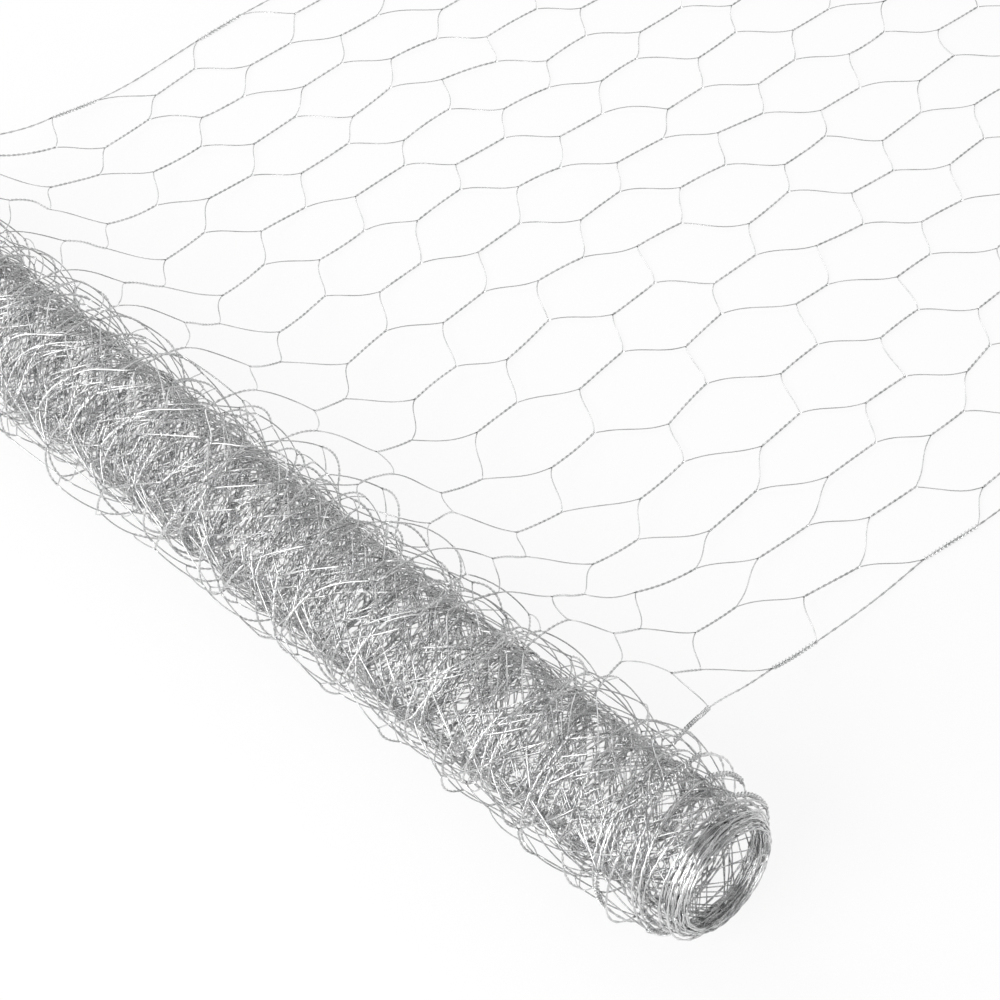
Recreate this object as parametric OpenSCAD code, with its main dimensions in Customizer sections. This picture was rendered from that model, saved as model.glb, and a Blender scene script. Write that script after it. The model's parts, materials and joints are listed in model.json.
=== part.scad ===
// Roll of galvanised hexagonal wire netting lying on a floor, with its free end laid out.
// Millimetres, Z up. The roll's axis lies along X and the netting runs out along +Y.

/* [Netting] */
// Mesh size, from one twist to the next across the netting
mesh_w = 25; // [13:1:40]
// Number of cells between the two selvedges
cells_across = 14; // [8:2:24]
// Length of one row of cells along the netting
row_pitch = 33; // [26:0.5:45]
// Length of the twisted side of a cell
twist_l = 19; // [10:0.5:22]
// Diameter of the wire
wire_d = 0.4; // [0.3:0.05:0.9]
// Angle by which the rows lean across the netting
row_lean = 9; // [0:1:14]

/* [Wound roll] */
// Outside diameter of the wound netting
roll_d = 52; // [46:1:90]
// Diameter of the open bore
bore_d = 29; // [20:1:36]
// Number of turns wound
turns = 36; // [6:1:60]
// Distance by which the innermost turn stands out past the outermost one
telescope = 34; // [0:1:40]

/* [Laid-out netting] */
// Rows of cells from the crown of the roll to the cut end
rows_out = 13; // [8:1:20]
// Angle past the crown at which the netting leaves the roll
leave_angle = 55; // [40:5:75]
// Inside radius of the bend where the netting comes down to the floor
floor_bend_r = 68; // [20:1:90]
// Clearance between the netting and the turn below it
lap_gap = 0.3; // [0.1:0.1:0.6]

/* [Hidden] */
$fn = 96;

// Angle of one flat in the side view of the netting's bends
bend_step = 12;
// Two wires lie side by side in a twist and in a selvedge
twin_w = 2 * wire_d;
netting_w = cells_across * mesh_w;
lean = tan(row_lean);

// Centre line of the netting, as lengths along it from the crown: over the roll, straight, bend, flat
lap_r = roll_d / 2 + lap_gap + twin_w / 2;
lap_end = lap_r * leave_angle * PI / 180;
leave_y = lap_r * sin(leave_angle);
leave_z = roll_d / 2 + lap_r * cos(leave_angle);
// The bend is no larger than the height at which the netting leaves the roll allows
bend_r = min(floor_bend_r + twin_w / 2, 0.95 * (leave_z - twin_w / 2) / (1 - cos(leave_angle)));
bend_rise = bend_r * (1 - cos(leave_angle));
slope_l = (leave_z - twin_w / 2 - bend_rise) / sin(leave_angle);
slope_end = lap_end + slope_l;
bend_start_y = leave_y + slope_l * cos(leave_angle);
touch_y = bend_start_y + bend_r * sin(leave_angle);
touch_s = slope_end + bend_r * leave_angle * PI / 180;

// At mid width one row of twists starts where the netting meets the floor
row_shift = touch_s - row_pitch * floor(touch_s / row_pitch);
cut_s = row_shift + rows_out * row_pitch + twist_l / 2;
cut_y = touch_y + cut_s - touch_s;
lean_y = lean * netting_w / 2;

// The whole part is centred on the origin in plan
axis_y = (roll_d / 2 - cut_y - lean_y) / 2;
mid_x = -telescope / 2;

// Plan distance from the roll's axis at a length s along the netting
function plan_y(s) =
    s < 0 ? s
    : s < lap_end ? lap_r * sin(s / lap_r * 180 / PI)
    : s < slope_end ? leave_y + (s - lap_end) * cos(leave_angle)
    : s < touch_s ? touch_y - bend_r * sin(leave_angle - (s - slope_end) / bend_r * 180 / PI)
    : touch_y + s - touch_s;

// Half of a cell's clear length at a distance x from the cell's middle
slant_l = row_pitch - twist_l;
slant_inset = wire_d / 2 * sqrt(pow(slant_l, 2) + pow(mesh_w / 2, 2)) / (mesh_w / 2);
function clear_s(x) = twist_l / 2 + slant_l * (1 - abs(x) / (mesh_w / 2)) - slant_inset;

// Steps from a to b, for walls that follow the bends
function steps(a, b, n) = [for (i = [0:n]) a + (b - a) * i / n];

// Clear outline of one cell, [across, along], from its left limit to its right one
function cell_outline(left, right, n) =
    let (xs = left < 0 && right > 0
        ? concat(steps(left, 0, n), [for (i = [1:n]) right * i / n])
        : steps(left, right, n))
    let (side = clear_s(right))
    concat(
        [for (x = xs) [x, clear_s(x)]],
        [for (i = [1:n - 1]) [right, side * (1 - 2 * i / n)]],
        [for (i = [len(xs) - 1:-1:0]) [xs[i], -clear_s(xs[i])]],
        [for (i = [1:n - 1]) [left, clear_s(left) * (2 * i / n - 1)]]);

// Window of one cell in plan, with its middle at [x0, s0] and the selvedges left standing
module cell_window(x0, s0) {
    half = mesh_w / 2 - twin_w / 2;
    left = max(-half, -netting_w / 2 + twin_w - x0);
    right = min(half, netting_w / 2 - twin_w - x0);
    n = s0 - row_pitch - lean_y < touch_s ? 3 : 1;
    polygon([for (p = cell_outline(left, right, n))
        [x0 + p[0], plan_y(s0 + p[1] + lean * (x0 + p[0]))]]);
}

// Windows of the rows from first to last: whole cells by turns with half cells at the selvedges
module cell_windows(first, last) {
    for (row = [first:last])
        let (whole = row % 2 == 0)
            for (i = [0:cells_across - (whole ? 1 : 0)])
                cell_window(
                    (i - cells_across / 2 + (whole ? 0.5 : 0)) * mesh_w,
                    row_shift + row * row_pitch + twist_l / 2);
}

// Centre line from the crown to the floor, as [Y, Z, angle below level], bend_step degrees apart
function lead_points() =
    let (n = ceil(leave_angle / bend_step))
    let (angles = [for (i = [0:n]) leave_angle * i / n])
    concat(
        [for (a = angles) [lap_r * sin(a), roll_d / 2 + lap_r * cos(a), a]],
        [for (i = [n:-1:0])
            let (a = angles[i])
            [touch_y - bend_r * sin(a), twin_w / 2 + bend_r * (1 - cos(a)), a]]);

// Side view of the netting from the crown down to the floor, [Y from the axis, Z]
module lead_profile() {
    pts = lead_points();
    upper = [for (p = pts) [p[0] + twin_w / 2 * sin(p[2]), p[1] + twin_w / 2 * cos(p[2])]];
    lower = [for (p = pts) [p[0] - twin_w / 2 * sin(p[2]), p[1] - twin_w / 2 * cos(p[2])]];
    polygon(concat(upper, [for (i = [len(lower) - 1:-1:0]) lower[i]]));
}

// A side view drawn in Y and Z, pulled across the whole width of the netting
module across() {
    translate([-netting_w / 2, 0, 0])
        rotate([90, 0, 90])
            linear_extrude(netting_w)
                children();
}

// Turned solid of the wound turns: each turn ends a step further along than the one around it,
// so the inner turns make a rounded nose at one end and a hollow at the other
module wound_roll() {
    turn_t = (roll_d - bore_d) / 2 / turns;
    function turn_shift(k) = telescope * sqrt(1 - pow(k / (turns - 1), 2));
    near_end = [for (k = [0:turns - 1]) each [
        [bore_d / 2 + k * turn_t, netting_w / 2 + turn_shift(k)],
        [bore_d / 2 + (k + 1) * turn_t, netting_w / 2 + turn_shift(k)]]];
    far_end = [for (k = [turns - 1:-1:0]) each [
        [bore_d / 2 + (k + 1) * turn_t, turn_shift(k) - netting_w / 2],
        [bore_d / 2 + k * turn_t, turn_shift(k) - netting_w / 2]]];
    color("silver")
        translate([mid_x, axis_y, roll_d / 2])
            rotate([0, 90, 0])
                rotate_extrude()
                    polygon(concat(near_end, far_end));
}

// Netting that lies over the crown, leaves the roll and bends down to the floor
module netting_lead() {
    color("lightsteelblue")
        translate([mid_x, axis_y, 0])
            difference() {
                across()
                    lead_profile();
                linear_extrude(2 * roll_d)
                    cell_windows(floor(-lean_y / row_pitch) - 1, ceil((touch_s + lean_y) / row_pitch) + 1);
            }
}

// Netting laid out flat on the floor, up to the row of twists where it is cut
module netting_sheet() {
    color("gainsboro")
        translate([mid_x, axis_y, 0])
            difference() {
                translate([-netting_w / 2, touch_y, 0])
                    cube([netting_w, cut_y + lean_y - touch_y, twin_w]);
                translate([0, 0, -twin_w])
                    linear_extrude(3 * twin_w) {
                        cell_windows(floor((touch_s - lean_y) / row_pitch) - 2, rows_out);
                        cut_off();
                    }
            }
}

// Plan of what is trimmed away past the cut row
module cut_off() {
    over = mesh_w;
    near_y = cut_y + lean * (netting_w / 2 + over);
    far_y = cut_y - lean * (netting_w / 2 + over);
    polygon([
        [netting_w / 2 + over, near_y],
        [netting_w / 2 + over, near_y + 2 * lean_y + over],
        [-netting_w / 2 - over, near_y + 2 * lean_y + over],
        [-netting_w / 2 - over, far_y]]);
}

wound_roll();
netting_lead();
netting_sheet();
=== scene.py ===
"""Looks of the roll of chicken wire: every wire of its netting, the floor, the light and the camera.

Lengths are in millimetres until a mesh is made. A place on the netting is given by x, across it from its
middle line, and by s, the length along it from the roll's crown: positive on the free end, negative on the
wound turns.
"""
import json
import math

import bpy
import numpy as np
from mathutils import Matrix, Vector


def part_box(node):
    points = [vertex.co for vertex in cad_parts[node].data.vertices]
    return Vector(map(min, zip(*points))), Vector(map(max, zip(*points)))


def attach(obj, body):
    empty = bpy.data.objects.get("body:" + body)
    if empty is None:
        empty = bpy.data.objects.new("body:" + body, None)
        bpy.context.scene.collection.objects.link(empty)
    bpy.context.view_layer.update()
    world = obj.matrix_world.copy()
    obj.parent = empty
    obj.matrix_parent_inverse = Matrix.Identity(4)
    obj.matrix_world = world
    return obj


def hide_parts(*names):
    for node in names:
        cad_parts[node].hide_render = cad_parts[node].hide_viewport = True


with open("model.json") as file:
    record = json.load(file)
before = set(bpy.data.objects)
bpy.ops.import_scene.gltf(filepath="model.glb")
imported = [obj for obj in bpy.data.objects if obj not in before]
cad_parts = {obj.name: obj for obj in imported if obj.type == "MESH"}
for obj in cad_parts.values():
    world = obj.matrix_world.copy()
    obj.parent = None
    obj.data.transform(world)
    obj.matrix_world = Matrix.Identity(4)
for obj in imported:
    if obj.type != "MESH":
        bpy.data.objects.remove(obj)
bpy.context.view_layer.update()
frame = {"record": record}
rng = np.random.default_rng(11)

# Millimetres in a metre
MM = 1000

# Sizes read from the frame
roll_lo, roll_hi = (np.array(c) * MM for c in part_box("wound_roll"))
_, lead_hi = (np.array(c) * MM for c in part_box("netting_lead"))
sheet_lo, sheet_hi = (np.array(c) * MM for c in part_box("netting_sheet"))
mounts = {m["name"]: m for m in frame["record"]["mounts"]}
AXIS_Y = (roll_lo[1] + roll_hi[1]) / 2
ROLL_R = (roll_hi[2] - roll_lo[2]) / 2
BORE_R = mounts["spindle_bore"]["dims"]["r_mm"]
NETTING_W = sheet_hi[0] - sheet_lo[0]
MID_X = (sheet_hi[0] + sheet_lo[0]) / 2
TELESCOPE = roll_hi[0] - sheet_hi[0]
WIRE_D = (sheet_hi[2] - sheet_lo[2]) / 2
TOUCH_Y = lead_hi[1] - AXIS_Y

# Netting, as in the part's source
CELLS = 14
ROW = 33.0
TWIST = 19.0
ROW_LEAN = 9
TURNS = 36
ROWS_OUT = 13
LEAVE_ANGLE = 55
FLOOR_BEND_R = 68
LAP_GAP = 0.3
MESH = NETTING_W / CELLS
LEAN = math.tan(math.radians(ROW_LEAN))
LEAVE = math.radians(LEAVE_ANGLE)
BEND_R = FLOOR_BEND_R + WIRE_D
LAP_R = ROLL_R + LAP_GAP + WIRE_D

# Lengths along the netting where it leaves the roll, starts to bend, and meets the floor
LAP_END = LAP_R * LEAVE
LEAVE_Y = LAP_R * math.sin(LEAVE)
LEAVE_Z = ROLL_R + LAP_R * math.cos(LEAVE)
SLOPE_END = LAP_END + (LEAVE_Z - WIRE_D - BEND_R * (1 - math.cos(LEAVE))) / math.sin(LEAVE)
TOUCH_S = SLOPE_END + BEND_R * LEAVE
ROW_SHIFT = TOUCH_S % ROW

# The wound spiral: its radius at some turns in from the crown, a few loose turns round a tight core,
# then the angles, the radius and the length wound along it
LOOSE = [(0, LAP_R), (1, ROLL_R - 1.4), (3, ROLL_R - 4.2), (6.5, ROLL_R - 7.0), (12, ROLL_R - 8.6),
         (TURNS, BORE_R)]
STEPS_A_TURN = 60
SPIRAL_A = np.linspace(0, 2 * math.pi * TURNS, STEPS_A_TURN * TURNS + 1)
SPIRAL_R = np.interp(SPIRAL_A / (2 * math.pi), *zip(*LOOSE))
SPIRAL_L = np.concatenate([[0], np.cumsum((SPIRAL_R[1:] + SPIRAL_R[:-1]) / 2 * np.diff(SPIRAL_A))])
FIRST_ROW = math.ceil(-SPIRAL_L[-1] / ROW)

# Turns in from the crown at which the roll is split into pieces, from the core outwards
SPLIT_TURNS = (23, 11, 5)

# Loose turns: the length over which they start, how many turns slacken, by how much all turns and the
# slack ones draw towards the free end, how much the slack ones swell, hang and sag, and how lumpy all are
WRAP_L, SLACK_TURNS = 60, 4.0
DRAW_ALL, DRAW_SLACK = 1.2, 2.6
SWELL, HANG, SAG, LUMP = 1.4, 0.9, 1.6, 0.4
HANG_AT, HANG_WIDE = math.radians(120), math.radians(45)

# The inner turns, past the first few, stand out and rise towards their near end, over a length of nose
INNER_TURNS = 2.6
NOSE_RISE, NOSE_OUT = 5.0, 4.0
NOSE_L, NOSE_MOST = 60, 1.1

# Turns shift sideways, each in its own way, and less so on the nose
DRIFT, DRIFT_LESS = 6.0, 4.0

# Uneven pull in the laid-out netting: the cell and the row where a pull is strongest, its spread in cells
# and in rows, then the shift across and along. It fades in from the crown
PULL_ALL = (8.0, 0.4)
PULLS = [(8.2, 1.6, 6.0, 1.9, 16.0, -16.0), (2.3, 4.6, 1.7, 2.4, 8.3, 16.0),
         (0.7, 2.3, 2.1, 2.9, -15.3, -7.5), (7.7, 5.3, 5.1, 3.2, -13.9, -2.7)]
PULL_BEFORE, PULL_FADE = 45, 60

# Off the roll the netting is stretched lengthwise, up to some length along it, and stands above its bend
STRETCH, STRETCH_TO, STRETCH_FADE = 18.0, 110, 80
LEAD_OFF, LEAD_IN, LEAD_TO, LEAD_FADE = 9.0, 45, 150, 75

# Towards the crown the near edge runs out with the turns below: how far, over how many cells, from what s
EDGE_OUT, EDGE_CELLS, EDGE_S = 10.0, 12.2, 68.3

# Random shift of each knot across and along, what winding adds to both, and its lift on the roll and off it
SHIFT_X, SHIFT_S, SHIFT_WOUND = 1.0, 1.2, 0.3
LIFT_WOUND, LIFT_FREE = 0.25, 0.5
KNOT_WRAP_L = 40

# Random bow of a twist along the netting and off it, and the mean by which wires stand off
TWIST_BOW, TWIST_OFF, MEAN_OFF = 0.4, 0.3, 0.1

# Turns of the two wires in a twist, and the lay of a selvedge and of the wire wrapped round it
TWIST_TURNS = 4.25
SELVEDGE_PITCH, SELVEDGE_POINTS = 9.0, 19
WRAP_PITCH, WRAP_REACH, WRAP_POINTS = 1.5, 1.5 * WIRE_D, 100
SELVEDGE_SIDES = 4

# Looks: tones of the zinc, its roughness, the floor's white share and grey, and the surroundings
ZINC_DARK, ZINC_LIGHT = (0.6, 0.605, 0.61, 1), (0.88, 0.88, 0.88, 1)
ROUGH_LEAST, ROUGH_MOST = 0.16, 0.34
WHITE_SHARE = 0.85
FLOOR_GREY, WORLD_GREY = (0.92, 0.92, 0.92, 1), (0.46, 0.46, 0.46, 1)
FLOOR_SIZE = 12

# Lamps: name, place in metres, width and power
LAMPS = [("left", (-1.0, -0.1, 0.8), 1.3, 7.0), ("front", (0.1, -1.1, 0.5), 0.8, 11.0),
         ("back", (-0.2, 0.9, 0.9), 0.7, 1.5)]

# Camera: angles, distance in metres, lens and sensor, and its aim, from the near edge and the roll's axis
AZIMUTH, ELEVATION = math.radians(44.25), math.radians(48.0)
DISTANCE = 0.7466
LENS, SENSOR = 88.46, 36.0
AIM_X, AIM_Y = 109.6, 73.15


def row_at(turn):
    """Row of cells that lies that many turns into the roll."""
    return -math.floor(np.interp(turn * 2 * math.pi, SPIRAL_A, SPIRAL_L) / ROW)


def field(waves, cells, length):
    """A smooth random field over the netting, about -1 to 1, of waves at least so many cells and mm long."""
    kx = rng.uniform(-1, 1, waves) * 2 * math.pi / (cells * MESH)
    ks = rng.uniform(-1, 1, waves) * 2 * math.pi / length
    phase = rng.uniform(0, 2 * math.pi, waves)
    size = rng.uniform(0.5, 1, waves) * 1.2 / math.sqrt(waves)

    def value(x, s):
        arg = kx * np.asarray(x)[..., None] + ks * np.asarray(s)[..., None] + phase
        return (size * np.sin(arg)).sum(-1)
    return value


def smooth(t):
    """Eased step from 0 to 1."""
    t = np.clip(t, 0, 1)
    return t * t * (3 - 2 * t)


lump = field(10, 3, 80)
sag = field(8, 4, 110)
swell = field(8, 5, 170)
drift = field(12, 4, 140)


def place(x, s, lift):
    """Points of the netting and the directions off its surface there."""
    wound = np.interp(-s, SPIRAL_L, SPIRAL_A)
    turn = wound / (2 * math.pi)
    kept = np.clip(1 - s / LAP_END, 0, 1)

    # Angle below level of the free end, and its centre line
    lap = np.clip(s, 0, LAP_END)
    slope = np.clip(s - LAP_END, 0, SLOPE_END - LAP_END)
    bend = np.clip(s - SLOPE_END, 0, TOUCH_S - SLOPE_END)
    angle = lap / LAP_R - bend / BEND_R - wound
    radius = np.interp(wound, SPIRAL_A, SPIRAL_R)
    on_roll = s < LAP_END
    bend_angle = LEAVE - bend / BEND_R
    y = np.where(on_roll, radius * np.sin(angle), LEAVE_Y + slope * math.cos(LEAVE))
    z = np.where(on_roll, ROLL_R + radius * np.cos(angle), LEAVE_Z - slope * math.sin(LEAVE))
    y = np.where(s > SLOPE_END, TOUCH_Y - BEND_R * np.sin(bend_angle) + np.clip(s - TOUCH_S, 0, None), y)
    z = np.where(s > SLOPE_END, WIRE_D + BEND_R * (1 - np.cos(bend_angle)), z)

    # Turns are lumpy, and the outer ones stand off the core and hang loose down the front of the roll
    wrapped = np.clip(-s / WRAP_L, 0, 1)
    slack = np.exp(-(turn / SLACK_TURNS) ** 2) * wrapped
    hang = np.exp(-((wound % (2 * math.pi) - HANG_AT) / HANG_WIDE) ** 2)
    drawn = -np.sin(wound) * wrapped
    hung = hang * (HANG + SAG * sag(x, s))
    loose = DRAW_ALL * drawn + slack * (DRAW_SLACK * drawn + SWELL * swell(x, s) + hung)
    off_bend = LEAD_OFF * smooth(s / LEAD_IN) * smooth((LEAD_TO - s) / LEAD_FADE)
    lift = lift + kept * (LUMP * lump(x, s) + loose) + off_bend

    # Inner turns stand out at the near end and point up a little there, rim and all
    inner = 1 - np.exp(-turn / INNER_TURNS)
    edge = EDGE_OUT * np.exp(-((NETTING_W / 2 - x) / MESH / EDGE_CELLS) ** 2) * smooth(1 - s / EDGE_S)
    out_x = MID_X + x + (TELESCOPE + NOSE_OUT) * inner + edge * (1 - inner)
    nose_l = NOSE_L + TELESCOPE
    along = inner * np.clip((out_x - sheet_hi[0] + NOSE_L) / nose_l, 0, NOSE_MOST)
    rise = NOSE_RISE * along ** 2
    out_x = out_x - 2 * NOSE_RISE * along / nose_l * (z - ROLL_R)
    out_x = out_x + wrapped * (DRIFT - DRIFT_LESS * along) * drift(x, s)
    normal = np.stack([0 * s, np.sin(angle), np.cos(angle)], -1)
    point = np.stack([out_x, AXIS_Y + y, z + rise], -1) + normal * lift[..., None]
    point[..., 2] = np.maximum(point[..., 2], WIRE_D / 2)
    return point, normal


def pulled(cell, row):
    """Shift across and along of the laid-out netting at a count of cells from the near selvedge, in a row."""
    across, along = PULL_ALL
    for mid, at, cells, rows, dx, ds in PULLS:
        bump = np.exp(-((cell - mid) / cells) ** 2 - ((row - at) / rows) ** 2)
        across, along = across + dx * bump, along + ds * bump
    return across, along


def knot(row, cell, end):
    """Place on the netting of the start or the end of a twist: x, s and lift."""
    x = NETTING_W / 2 - cell * MESH
    s = ROW_SHIFT + row * ROW + end * TWIST + LEAN * x
    wound = np.clip(-s / KNOT_WRAP_L, 0, 1)
    spread = smooth((s + PULL_BEFORE) / PULL_FADE)
    across, along = pulled(cell, row + end * TWIST / ROW)
    shape = np.shape(x + s)
    x = x + across * spread + rng.normal(0, 1, shape) * (SHIFT_X + SHIFT_WOUND * wound)
    s = s + along * spread + rng.normal(0, 1, shape) * (SHIFT_S + SHIFT_WOUND * wound)
    s = s - STRETCH * smooth((STRETCH_TO - s) / STRETCH_FADE)
    lift = rng.normal(0, 1, shape) * LIFT_WOUND * wound
    lift = lift + np.abs(rng.normal(0, 1, shape)) * LIFT_FREE * (1 - wound)
    return np.stack([x, s, lift], -1)


def row_cells(row):
    """Counts of cells at which a row has its twists, selvedges included."""
    return np.arange(CELLS + 1.0) if row % 2 == 0 else np.arange(CELLS) + 0.5


def netting_knots():
    """Starts and ends of every twist, by row."""
    rows = range(FIRST_ROW, ROWS_OUT + 1)
    return {row: [knot(row, row_cells(row), end) for end in (0, 1)] for row in rows}


def runs(start, end, count, ease, bow, off):
    """Points of wires between knots: eased out of the twists, bowed along the netting and off it."""
    t = np.linspace(0, 1, count)
    line = start[:, None, :] + (end - start)[:, None, :] * t[None, :, None]
    eased = t - ease * np.sin(2 * math.pi * t) / (2 * math.pi)
    x = start[:, None, 0] + (end - start)[:, None, 0] * eased
    s = line[..., 1] + bow[:, None] * np.sin(math.pi * t)
    lift = line[..., 2] + off[:, None] * np.sin(math.pi * t)
    return x, s, lift


def unit(v):
    """Directions of vectors."""
    return v / np.maximum(np.linalg.norm(v, axis=-1, keepdims=True), 1e-9)


def tubes(paths, normals, radius, sides):
    """Vertices, walls and end caps of closed round tubes along paths, an array of [tube, point, xyz]."""
    count, points, _ = paths.shape
    tangent = unit(np.gradient(paths, axis=1))
    side = unit(np.cross(tangent, normals))
    up = np.cross(side, tangent)
    turn = 2 * math.pi * np.arange(sides) / sides
    ring = side[:, :, None] * np.cos(turn)[:, None] + up[:, :, None] * np.sin(turn)[:, None]
    vertices = (paths[:, :, None] + radius * ring).reshape(-1, 3)

    at = np.arange(count * points * sides).reshape(count, points, sides)
    nxt = np.roll(at, -1, axis=2)
    walls = np.stack([at[:, :-1], nxt[:, :-1], nxt[:, 1:], at[:, 1:]], -1).reshape(-1, 4)
    caps = np.concatenate([at[:, 0, ::-1], at[:, -1]])
    return vertices, walls, caps


def helix(paths, normals, pitch, reach, phase):
    """Paths that wind round other paths at a distance."""
    tangent = unit(np.gradient(paths, axis=1))
    side = np.cross(tangent, normals)
    step = np.linalg.norm(np.diff(paths, axis=1), axis=-1)
    length = np.concatenate([np.zeros((len(paths), 1)), np.cumsum(step, axis=1)], axis=1)
    turn = 2 * math.pi * length / pitch + phase
    return paths + reach * (side * np.cos(turn)[..., None] + normals * np.sin(turn)[..., None])


def strands(paths, normals, pitch, sides):
    """The two wires of a twist, wound round each other along paths."""
    phase = rng.uniform(0, 2 * math.pi, (len(paths), 1))
    both = [helix(paths, normals, pitch, WIRE_D / 2, phase + half) for half in (0, math.pi)]
    return tubes(np.concatenate(both), np.concatenate([normals, normals]), WIRE_D / 2, sides)


def wire_piece(name, parts, nodes):
    """One mesh of many tubes, which stands for CAD nodes."""
    corners, starts, vertices = [], [], []
    v_count = c_count = 0
    for points, walls, caps in parts:
        vertices.append(points)
        for faces in (walls, caps):
            corners.append((faces + v_count).ravel())
            starts.append(c_count + np.arange(len(faces)) * faces.shape[1])
            c_count += faces.size
        v_count += len(points)
    corners, starts = np.concatenate(corners), np.concatenate(starts)
    mesh = bpy.data.meshes.new(name)
    mesh.vertices.add(v_count)
    mesh.vertices.foreach_set("co", (np.concatenate(vertices) / MM).astype(np.float32).ravel())
    mesh.loops.add(len(corners))
    mesh.loops.foreach_set("vertex_index", corners.astype(np.int32))
    mesh.polygons.add(len(starts))
    mesh.polygons.foreach_set("loop_start", starts.astype(np.int32))
    mesh.polygons.foreach_set("use_smooth", np.ones(len(starts), bool))
    mesh.update(calc_edges=True)
    mesh.materials.append(ZINC)
    piece = bpy.data.objects.new(name, mesh)
    bpy.context.scene.collection.objects.link(piece)
    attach(piece, "root")
    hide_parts(*nodes)


def node(tree, kind, **values):
    """A shader node with its settings or its unlinked inputs set."""
    made = tree.nodes.new(kind)
    for key, value in values.items():
        if key in made.inputs:
            made.inputs[key].default_value = value
        else:
            setattr(made, key, value)
    return made


def zinc_material():
    """Bright zinc-coated drawn wire: grey metal with patchy tone and slight unevenness."""
    material = bpy.data.materials.new("galvanised_wire")
    material.use_nodes = True
    tree = material.node_tree
    shader = tree.nodes["Principled BSDF"]
    shader.inputs["Metallic"].default_value = 1.0
    place_at = node(tree, "ShaderNodeTexCoord")

    patches = node(tree, "ShaderNodeTexNoise", Scale=170.0, Detail=3.0)
    tone = node(tree, "ShaderNodeValToRGB")
    tone.color_ramp.elements[0].position = 0.32
    tone.color_ramp.elements[0].color = ZINC_DARK
    tone.color_ramp.elements[1].position = 0.7
    tone.color_ramp.elements[1].color = ZINC_LIGHT
    tree.links.new(place_at.outputs["Object"], patches.inputs["Vector"])
    tree.links.new(patches.outputs["Fac"], tone.inputs["Fac"])
    tree.links.new(tone.outputs["Color"], shader.inputs["Base Color"])

    grain = node(tree, "ShaderNodeTexNoise", Scale=900.0, Detail=4.0)
    rough = node(tree, "ShaderNodeMapRange")
    rough.inputs["To Min"].default_value = ROUGH_LEAST
    rough.inputs["To Max"].default_value = ROUGH_MOST
    tree.links.new(place_at.outputs["Object"], grain.inputs["Vector"])
    tree.links.new(grain.outputs["Fac"], rough.inputs["Value"])
    tree.links.new(rough.outputs["Result"], shader.inputs["Roughness"])

    bump = node(tree, "ShaderNodeBump", Strength=0.25, Distance=0.00006)
    tree.links.new(grain.outputs["Fac"], bump.inputs["Height"])
    tree.links.new(bump.outputs["Normal"], shader.inputs["Normal"])
    return material


def build_section(name, rows, nodes, detail, knots):
    """Twists and single wires of some rows, each with so many points and sides."""
    twists, wires = [], []
    for row in rows:
        start, end = knots[row]
        inner = slice(1, -1) if row % 2 == 0 else slice(None)
        twists.append(np.stack([start[inner], end[inner]], 1))
        if row + 1 in knots:
            onward = knots[row + 1][0]
            if row % 2 == 0:
                wires += [np.stack([end[:-1], onward], 1), np.stack([end[1:], onward], 1)]
            else:
                wires += [np.stack([end, onward[:-1]], 1), np.stack([end, onward[1:]], 1)]
    twists, wires = np.concatenate(twists), np.concatenate(wires)
    bow = rng.normal(0, TWIST_BOW, len(twists))
    off = rng.normal(MEAN_OFF, TWIST_OFF, len(twists))
    path, normal = place(*runs(twists[:, 0], twists[:, 1], detail["twist"], 0, bow, off))
    wire_piece(name + "_twists", [strands(path, normal, TWIST / TWIST_TURNS, detail["sides"])], nodes)

    # Single wires of the laid-out netting ease into the twists and bow more than the wound ones
    ease, spread = (0.35, 0.8) if name == "sheet" else (0.1, 0.5)
    bow = rng.normal(0, spread, len(wires))
    off = rng.normal(MEAN_OFF, spread / 2, len(wires))
    path, normal = place(*runs(wires[:, 0], wires[:, 1], detail["wire"], ease, bow, off))
    wire_piece(name + "_wires", [tubes(path, normal, WIRE_D / 2, detail["sides"])], nodes)


def build_selvedge(name, side, outer, knots):
    """Two twisted wires along one edge, wrapped at the twists of the outer turns and of the free end."""
    even = [row for row in knots if row % 2 == 0]
    points = np.concatenate([[knots[row][0][side], knots[row][1][side]] for row in even])
    spans = np.stack([points[:-1], points[1:]], 1)
    level = np.zeros(len(spans))
    path, normal = place(*runs(spans[:, 0], spans[:, 1], SELVEDGE_POINTS, 0, level, level))
    parts = [strands(path, normal, SELVEDGE_PITCH, SELVEDGE_SIDES)]
    wraps = np.stack([[knots[row][0][side], knots[row][1][side]] for row in even if row >= outer])
    level = np.zeros(len(wraps))
    path, normal = place(*runs(wraps[:, 0], wraps[:, 1], WRAP_POINTS, 0, level, level))
    wrapping = helix(path, normal, WRAP_PITCH, WRAP_REACH, 0)
    parts.append(tubes(wrapping, normal, WIRE_D / 2, SELVEDGE_SIDES))
    wire_piece(name, parts, ["wound_roll", "netting_lead", "netting_sheet"])


def build_netting():
    """Every twist, single wire and selvedge of the netting."""
    knots = netting_knots()
    half, middle, outer = (row_at(turn) for turn in SPLIT_TURNS)
    roll, laid = ["wound_roll"], ["netting_lead", "netting_sheet"]
    core = dict(twist=13, wire=6, sides=3)
    build_section("roll_core", range(FIRST_ROW, half), roll, core, knots)
    build_section("roll_inner", range(half, middle), roll, core, knots)
    build_section("roll_middle", range(middle, outer), roll, dict(twist=22, wire=7, sides=3), knots)
    build_section("roll_outer", range(outer, 0), roll, dict(twist=33, wire=9, sides=4), knots)
    build_section("sheet", range(0, ROWS_OUT + 1), laid, dict(twist=43, wire=13, sides=5), knots)
    build_selvedge("selvedge_near", 0, outer, knots)
    build_selvedge("selvedge_far", -1, outer, knots)


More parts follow.
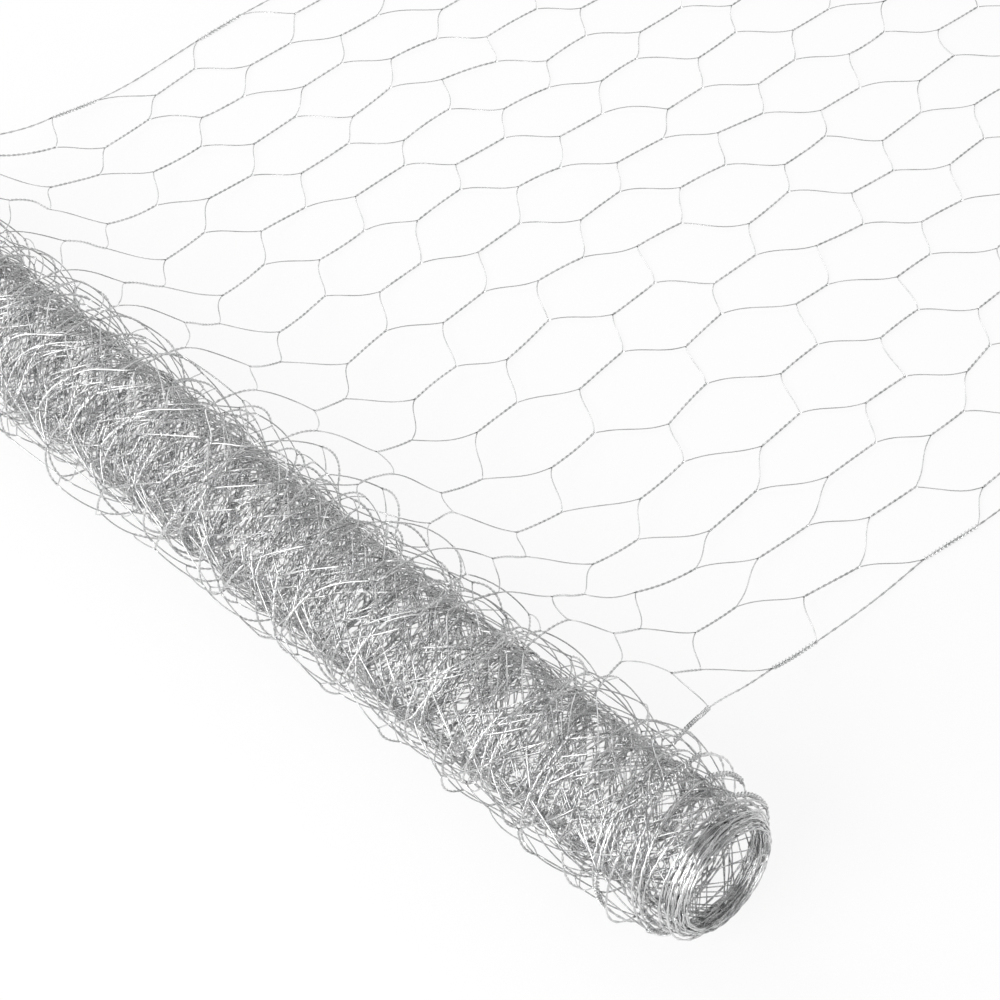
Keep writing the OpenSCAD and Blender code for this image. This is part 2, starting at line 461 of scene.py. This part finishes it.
def studio():
    """Pale floor and soft light: large lamps in dim grey surroundings, so that the wire shows its shine."""
    bpy.ops.mesh.primitive_plane_add(size=FLOOR_SIZE, location=(0, 0, 0))
    floor = bpy.context.object
    floor.name = "floor"
    material = bpy.data.materials.new("floor")
    material.use_nodes = True
    tree = material.node_tree
    tree.nodes.remove(tree.nodes["Principled BSDF"])

    # Seen by the camera or in the metal, the floor is mostly plain white, and the rest of it takes the shadow
    ray = node(tree, "ShaderNodeLightPath")
    seen = node(tree, "ShaderNodeMath", operation="MAXIMUM")
    also = node(tree, "ShaderNodeMath", operation="MAXIMUM")
    share = node(tree, "ShaderNodeMath", operation="MULTIPLY")
    share.inputs[1].default_value = WHITE_SHARE
    tree.links.new(ray.outputs["Is Camera Ray"], seen.inputs[0])
    tree.links.new(ray.outputs["Is Glossy Ray"], seen.inputs[1])
    tree.links.new(seen.outputs[0], also.inputs[0])
    tree.links.new(ray.outputs["Is Transmission Ray"], also.inputs[1])
    tree.links.new(also.outputs[0], share.inputs[0])
    white = node(tree, "ShaderNodeEmission", Strength=1.0)
    lit = node(tree, "ShaderNodeBsdfDiffuse", Color=FLOOR_GREY)
    both = node(tree, "ShaderNodeMixShader")
    tree.links.new(share.outputs[0], both.inputs[0])
    tree.links.new(lit.outputs[0], both.inputs[1])
    tree.links.new(white.outputs[0], both.inputs[2])
    tree.links.new(both.outputs[0], tree.nodes["Material Output"].inputs["Surface"])
    floor.data.materials.append(material)

    world = bpy.data.worlds.new("studio")
    bpy.context.scene.world = world
    world.use_nodes = True
    sky = world.node_tree.nodes["Background"]
    sky.inputs["Color"].default_value = WORLD_GREY
    sky.inputs["Strength"].default_value = 1.0

    for name, spot, size, power in LAMPS:
        lamp = bpy.data.lights.new(name, "AREA")
        lamp.size = size
        lamp.energy = power
        holder = bpy.data.objects.new(name, lamp)
        holder.visible_camera = False
        holder.location = spot
        holder.rotation_euler = (-Vector(spot)).to_track_quat("-Z", "Y").to_euler()
        bpy.context.scene.collection.objects.link(holder)


def camera():
    """The photograph's view, looking down on the roll from beyond its near end."""
    aim = Vector(((sheet_hi[0] - AIM_X) / MM, (AXIS_Y + AIM_Y) / MM, 0))
    back = Vector((math.sin(AZIMUTH) * math.cos(ELEVATION),
                   -math.cos(AZIMUTH) * math.cos(ELEVATION), math.sin(ELEVATION)))
    view = bpy.data.cameras.new("camera")
    view.lens = LENS
    view.sensor_width = SENSOR
    view.clip_start = 0.01
    holder = bpy.data.objects.new("camera", view)
    holder.location = aim + back * DISTANCE
    holder.rotation_euler = (-back).to_track_quat("-Z", "Y").to_euler()
    bpy.context.scene.collection.objects.link(holder)
    bpy.context.scene.camera = holder


ZINC = zinc_material()
camera()
studio()
build_netting()
bpy.context.scene.view_settings.view_transform = "Standard"
